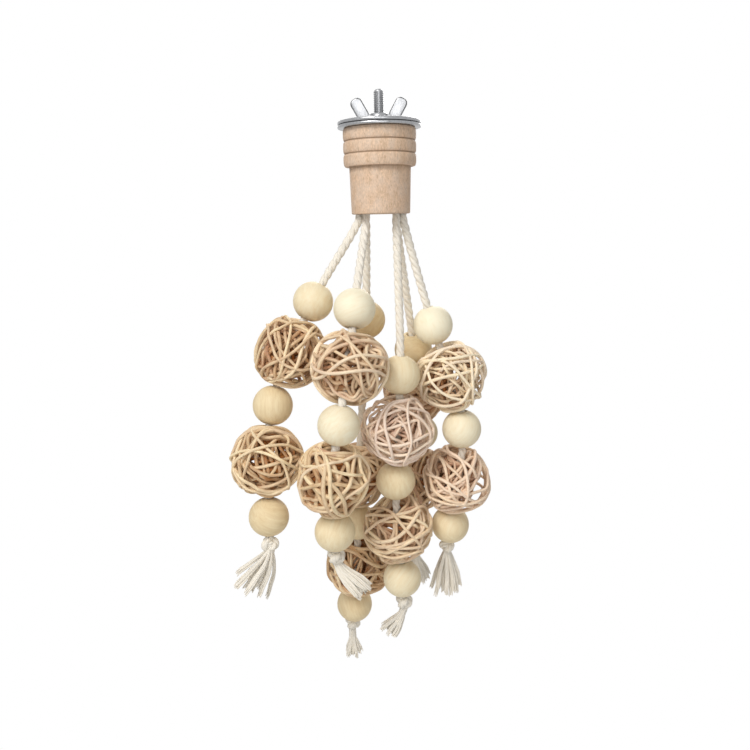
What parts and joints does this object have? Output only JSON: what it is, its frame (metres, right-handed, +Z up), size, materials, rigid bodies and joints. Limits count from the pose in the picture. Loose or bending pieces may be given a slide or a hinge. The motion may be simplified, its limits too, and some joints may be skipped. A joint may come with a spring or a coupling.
{
  "type": "hanging bird chew toy",
  "caption": "Hanging bird chew toy: turned wooden block with bolt, washers and wing nut to clamp on a cage, and cords threaded with wooden beads and woven rattan balls.",
  "frame": {"origin": "middle of the block's top face, on the bolt's axis", "axes": "+Z up along the bolt, +X to the right and +Y to the back as pictured"},
  "size_m": [0.1119, 0.0911, 0.2586],
  "materials": {
    "block_wood": "sanded, unvarnished",
    "zinc_steel": "bright zinc plated",
    "bead_wood": "sanded, unvarnished",
    "rattan_cane": "natural cane",
    "cotton_cord": "twisted cotton",
    "glued_cotton": "cotton set in glue"
  },
  "bodies": {
    "holder": {"wood_block": "block_wood", "hanger_bolt": "zinc_steel", "lower_washer": "zinc_steel", "glued_cords_left": "glued_cotton", "glued_cords_right": "glued_cotton"},
    "clamp_washer": {"upper_washer": "zinc_steel"},
    "wing_nut": {"wing_nut": "zinc_steel"},
    "strand_a": {"cord_a": "cotton_cord", "knot_a": "cotton_cord", "frayed_end_a": "cotton_cord"},
    "bead_a1": {"bead_a1": "bead_wood"},
    "ball_a1": {"ball_a1": "rattan_cane"},
    "bead_a2": {"bead_a2": "bead_wood"},
    "ball_a2": {"ball_a2": "rattan_cane"},
    "bead_a3": {"bead_a3": "bead_wood"},
    "strand_b": {"cord_b": "cotton_cord", "knot_b": "cotton_cord", "frayed_end_b": "cotton_cord"},
    "bead_b1": {"bead_b1": "bead_wood"},
    "ball_b1": {"ball_b1": "rattan_cane"},
    "bead_b2": {"bead_b2": "bead_wood"},
    "ball_b2": {"ball_b2": "rattan_cane"},
    "bead_b3": {"bead_b3": "bead_wood"},
    "strand_c": {"cord_c": "cotton_cord", "knot_c": "cotton_cord", "frayed_end_c": "cotton_cord"},
    "bead_c1": {"bead_c1": "bead_wood"},
    "ball_c1": {"ball_c1": "rattan_cane"},
    "bead_c2": {"bead_c2": "bead_wood"},
    "ball_c2": {"ball_c2": "rattan_cane"},
    "bead_c3": {"bead_c3": "bead_wood"},
    "strand_d": {"cord_d": "cotton_cord", "knot_d": "cotton_cord", "frayed_end_d": "cotton_cord"},
    "bead_d1": {"bead_d1": "bead_wood"},
    "ball_d1": {"ball_d1": "rattan_cane"},
    "bead_d2": {"bead_d2": "bead_wood"},
    "ball_d2": {"ball_d2": "rattan_cane"},
    "bead_d3": {"bead_d3": "bead_wood"},
    "strand_e": {"cord_e": "cotton_cord", "knot_e": "cotton_cord", "frayed_end_e": "cotton_cord"},
    "bead_e1": {"bead_e1": "bead_wood"},
    "ball_e1": {"ball_e1": "rattan_cane"},
    "bead_e2": {"bead_e2": "bead_wood"},
    "ball_e2": {"ball_e2": "rattan_cane"},
    "bead_e3": {"bead_e3": "bead_wood"},
    "strand_f": {"cord_f": "cotton_cord", "knot_f": "cotton_cord", "frayed_end_f": "cotton_cord"},
    "bead_f1": {"bead_f1": "bead_wood"},
    "ball_f1": {"ball_f1": "rattan_cane"},
    "bead_f2": {"bead_f2": "bead_wood"},
    "ball_f2": {"ball_f2": "rattan_cane"},
    "bead_f3": {"bead_f3": "bead_wood"}
  },
  "joints": [
    {"name": "wing_nut_turn", "type": "hinge", "parent": "clamp_washer", "child": "wing_nut", "pos_m": [0, 0, 0.0057], "axis": [0, 0, 1], "range_deg": [0, 2880]},
    {"name": "clamp_washer_lift", "type": "slide", "parent": "holder", "child": "clamp_washer", "axis": [0, 0, 1], "range_m": [0, 0.0056]},
    {"name": "strand_a_swing", "type": "hinge", "parent": "holder", "child": "strand_a", "pos_m": [-0.0089, 0, -0.0348], "axis": [0, 1, 0], "range_deg": [0, 60]},
    {"name": "strand_b_swing", "type": "hinge", "parent": "holder", "child": "strand_b", "pos_m": [-0.00605, -0.00165, -0.0348], "axis": [-0.9659, 0.2588, 0], "range_deg": [0, 60]},
    {"name": "strand_c_swing", "type": "hinge", "parent": "holder", "child": "strand_c", "pos_m": [-0.00605, 0.00165, -0.0348], "axis": [0.866, 0.5, 0], "range_deg": [0, 60]},
    {"name": "strand_d_swing", "type": "hinge", "parent": "holder", "child": "strand_d", "pos_m": [0.00605, -0.00165, -0.0348], "axis": [-0.866, -0.5, 0], "range_deg": [0, 60]},
    {"name": "strand_e_swing", "type": "hinge", "parent": "holder", "child": "strand_e", "pos_m": [0.00605, 0.00165, -0.0348], "axis": [1, 0, 0], "range_deg": [0, 60]},
    {"name": "strand_f_swing", "type": "hinge", "parent": "holder", "child": "strand_f", "pos_m": [0.0089, 0, -0.0348], "axis": [-0.0872, -0.9962, 0], "range_deg": [0, 60]},
    {"name": "ball_a1_spin", "type": "hinge", "parent": "strand_a", "child": "ball_a1", "pos_m": [-0.03875, -0.00567, -0.08782], "axis": [0.3848, 0.1718, 0.9069], "continuous": true},
    {"name": "ball_a2_spin", "type": "hinge", "parent": "strand_a", "child": "ball_a2", "pos_m": [-0.04914, -0.01449, -0.13139], "axis": [0.055, 0.22, 0.9739], "continuous": true},
    {"name": "ball_b1_spin", "type": "hinge", "parent": "strand_b", "child": "ball_b1", "pos_m": [-0.01354, -0.02425, -0.09099], "axis": [0.1511, 0.3023, 0.9412], "continuous": true},
    {"name": "ball_b2_spin", "type": "hinge", "parent": "strand_b", "child": "ball_b2", "pos_m": [-0.02142, -0.02898, -0.135], "axis": [0.0688, -0.0963, 0.993], "continuous": true},
    {"name": "ball_c1_spin", "type": "hinge", "parent": "strand_c", "child": "ball_c1", "pos_m": [-0.01229, 0.00945, -0.14595], "axis": [0.0648, -0.0171, 0.9978], "continuous": true},
    {"name": "ball_c2_spin", "type": "hinge", "parent": "strand_c", "child": "ball_c2", "pos_m": [-0.01354, 0.0126, -0.19163], "axis": [0.0618, -0.1718, 0.9832], "continuous": true},
    {"name": "ball_d1_spin", "type": "hinge", "parent": "strand_d", "child": "ball_d1", "pos_m": [0.00473, -0.01166, -0.12013], "axis": [0.0549, -0.0343, 0.9979], "continuous": true},
    {"name": "ball_d2_spin", "type": "hinge", "parent": "strand_d", "child": "ball_d2", "pos_m": [0.00473, -0.00724, -0.1658], "axis": [-0.0481, -0.055, 0.9973], "continuous": true},
    {"name": "ball_e1_spin", "type": "hinge", "parent": "strand_e", "child": "ball_e1", "pos_m": [0.01449, 0.02489, -0.11264], "axis": [-0.0824, -0.3502, 0.9331], "continuous": true},
    {"name": "ball_e2_spin", "type": "hinge", "parent": "strand_e", "child": "ball_e2", "pos_m": [0.01544, 0.0315, -0.15719], "axis": [0.0617, 0.048, 0.9969], "continuous": true},
    {"name": "ball_f1_spin", "type": "hinge", "parent": "strand_f", "child": "ball_f1", "pos_m": [0.02804, -0.00094, -0.10056], "axis": [-0.2543, 0.0756, 0.9642], "continuous": true},
    {"name": "ball_f2_spin", "type": "hinge", "parent": "strand_f", "child": "ball_f2", "pos_m": [0.03024, -0.00158, -0.14588], "axis": [0.0963, -0.11, 0.9893], "continuous": true},
    {"name": "bead_a1_spin", "type": "hinge", "parent": "strand_a", "child": "bead_a1", "pos_m": [-0.02866, -0.00158, -0.0676], "axis": [0.4788, 0.1101, 0.871], "continuous": true},
    {"name": "bead_a2_spin", "type": "hinge", "parent": "strand_a", "child": "bead_a2", "pos_m": [-0.0463, -0.00945, -0.10917], "axis": [0.2277, 0.1932, 0.9544], "continuous": true},
    {"name": "bead_a3_spin", "type": "hinge", "parent": "strand_a", "child": "bead_a3", "pos_m": [-0.04883, -0.01953, -0.15379], "axis": [-0.0137, 0.2195, 0.9755], "continuous": true},
    {"name": "bead_b1_spin", "type": "hinge", "parent": "strand_b", "child": "bead_b1", "pos_m": [-0.01134, -0.01733, -0.06921], "axis": [0.1176, 0.3569, 0.9267], "continuous": true},
    {"name": "bead_b2_spin", "type": "hinge", "parent": "strand_b", "child": "bead_b2", "pos_m": [-0.01827, -0.03119, -0.11236], "axis": [0.1752, 0.1051, 0.9789], "continuous": true},
    {"name": "bead_b3_spin", "type": "hinge", "parent": "strand_b", "child": "bead_b3", "pos_m": [-0.02142, -0.02678, -0.15786], "axis": [0, -0.096, 0.9954], "continuous": true},
    {"name": "bead_c1_spin", "type": "hinge", "parent": "strand_c", "child": "bead_c1", "pos_m": [-0.00724, 0.00788, -0.07679], "axis": [0.0505, -0.0848, 0.9951], "continuous": true},
    {"name": "bead_c2_spin", "type": "hinge", "parent": "strand_c", "child": "bead_c2", "pos_m": [-0.01323, 0.00945, -0.16889], "axis": [0.0275, -0.0688, 0.9973], "continuous": true},
    {"name": "bead_c3_spin", "type": "hinge", "parent": "strand_c", "child": "bead_c3", "pos_m": [-0.01606, 0.01733, -0.21396], "axis": [0.1097, -0.2058, 0.9724], "continuous": true},
    {"name": "bead_d1_spin", "type": "hinge", "parent": "strand_d", "child": "bead_d1", "pos_m": [0.0063, -0.01134, -0.09722], "axis": [0.0324, 0.0838, 0.996], "continuous": true},
    {"name": "bead_d2_spin", "type": "hinge", "parent": "strand_d", "child": "bead_d2", "pos_m": [0.00378, -0.00976, -0.14299], "axis": [0, -0.0961, 0.9954], "continuous": true},
    {"name": "bead_d3_spin", "type": "hinge", "parent": "strand_d", "child": "bead_d3", "pos_m": [0.00598, -0.00724, -0.18872], "axis": [-0.0549, 0, 0.9985], "continuous": true},
    {"name": "bead_e1_spin", "type": "hinge", "parent": "strand_e", "child": "bead_e1", "pos_m": [0.01323, 0.01606, -0.09148], "axis": [-0.0887, -0.3154, 0.9448], "continuous": true},
    {"name": "bead_e2_spin", "type": "hinge", "parent": "strand_e", "child": "bead_e2", "pos_m": [0.01701, 0.03213, -0.13429], "axis": [-0.021, -0.1469, 0.9889], "continuous": true},
    {"name": "bead_e3_spin", "type": "hinge", "parent": "strand_e", "child": "bead_e3", "pos_m": [0.01418, 0.02993, -0.18006], "axis": [0.0549, 0.0686, 0.9961], "continuous": true},
    {"name": "bead_f1_spin", "type": "hinge", "parent": "strand_f", "child": "bead_f1", "pos_m": [0.02079, 0.00094, -0.07885], "axis": [-0.2885, 0.0309, 0.957], "continuous": true},
    {"name": "bead_f2_spin", "type": "hinge", "parent": "strand_f", "child": "bead_f2", "pos_m": [0.03245, -0.00252, -0.12304], "axis": [-0.0486, 0.0139, 0.9987], "continuous": true},
    {"name": "bead_f3_spin", "type": "hinge", "parent": "strand_f", "child": "bead_f3", "pos_m": [0.02804, 0.00252, -0.16836], "axis": [0.096, -0.1783, 0.9793], "continuous": true}
  ],
  "couplings": [
    {"joint": "wing_nut_turn", "follows": "clamp_washer_lift", "rad_per_m": 8976}
  ]
}
